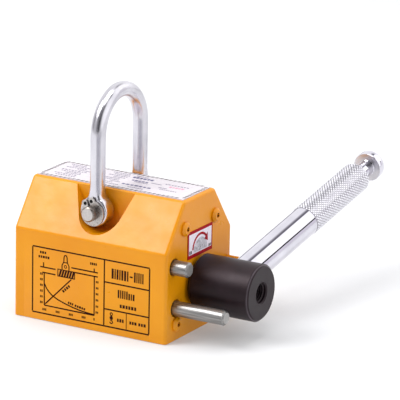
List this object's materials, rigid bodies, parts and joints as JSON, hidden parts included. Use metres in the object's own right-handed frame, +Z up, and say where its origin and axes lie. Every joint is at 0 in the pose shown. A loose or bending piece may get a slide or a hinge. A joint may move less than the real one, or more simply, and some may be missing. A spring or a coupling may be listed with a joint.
{
  "type": "lifting magnet",
  "caption": "Hand-switched permanent lifting magnet: orange two-pole steel housing, magnet rotor turned by a knurled side handle, sprung catch, stop pins and a swinging shackle.",
  "frame": {"origin": "on the pole face, under the middle of the housing", "axes": "+X along the rotor to the handle end, +Y to the rear where the handle lies when off, +Z up to the shackle"},
  "size_m": [0.1311, 0.1909, 0.1245],
  "materials": {
    "housing_paint": "satin orange enamel",
    "screw_paint": "painted over with the housing",
    "gap_brass": "ground",
    "magnet_nickel": "nickel plated",
    "bush_bronze": "turned",
    "rotor_steel": "turned",
    "side_aluminium": "turned",
    "screw_steel": "black oxide",
    "hub_black": "satin black oxide",
    "rod_chrome": "bright chrome, knurled grip",
    "pin_steel": "drawn, brushed along its length",
    "spring_steel": "bright wire",
    "shackle_zinc": "bright zinc",
    "ring_steel": "zinc plated",
    "plate_white": "white with a fine printed border",
    "label_red": "printed film"
  },
  "bodies": {
    "housing": {"front_pole": "housing_paint", "rear_pole": "housing_paint", "bottom_gap_bar": "gap_brass", "top_gap_bar": "housing_paint", "stator_magnets": "magnet_nickel", "drive_cover": "housing_paint", "tail_cover": "housing_paint", "drive_cover_screws": "screw_paint", "tail_cover_screws": "screw_paint", "drive_bush": "bush_bronze", "tail_bush": "bush_bronze", "thrust_washers": "bush_bronze", "on_stop_pin": "pin_steel", "off_stop_pin": "pin_steel", "plunger_spring": "spring_steel", "painted_stud": "screw_paint", "shackle_pin": "pin_steel", "retaining_rings": "ring_steel", "top_plate": "plate_white", "turn_label": "label_red"},
    "rotor": {"rotor_pole_a": "rotor_steel", "rotor_pole_b": "rotor_steel", "rotor_magnets": "magnet_nickel", "rotor_side_bars": "side_aluminium", "drive_shaft": "rotor_steel", "tail_shaft": "rotor_steel", "rotor_screws": "screw_steel", "hub": "hub_black", "hub_roll_pin": "pin_steel", "rod_lock_screw": "screw_steel", "handle_rod": "rod_chrome"},
    "shackle": {"shackle": "shackle_zinc"},
    "catch": {"plunger": "pin_steel"}
  },
  "joints": [
    {"name": "handle_turn", "type": "hinge", "parent": "housing", "child": "rotor", "pos_m": [0, 0, 0.0256], "axis": [1, 0, 0], "range_deg": [0, 159.2]},
    {"name": "shackle_swing", "type": "hinge", "parent": "housing", "child": "shackle", "pos_m": [-0.003, 0, 0.0608], "axis": [0, 1, 0], "range_deg": [-48, 56]},
    {"name": "plunger_press", "type": "slide", "parent": "housing", "child": "catch", "axis": [-1, 0, 0], "range_m": [0, 0.006], "stiffness_N_per_m": 800, "springref_m": -0.002, "deforming": ["plunger_spring"]}
  ]
}
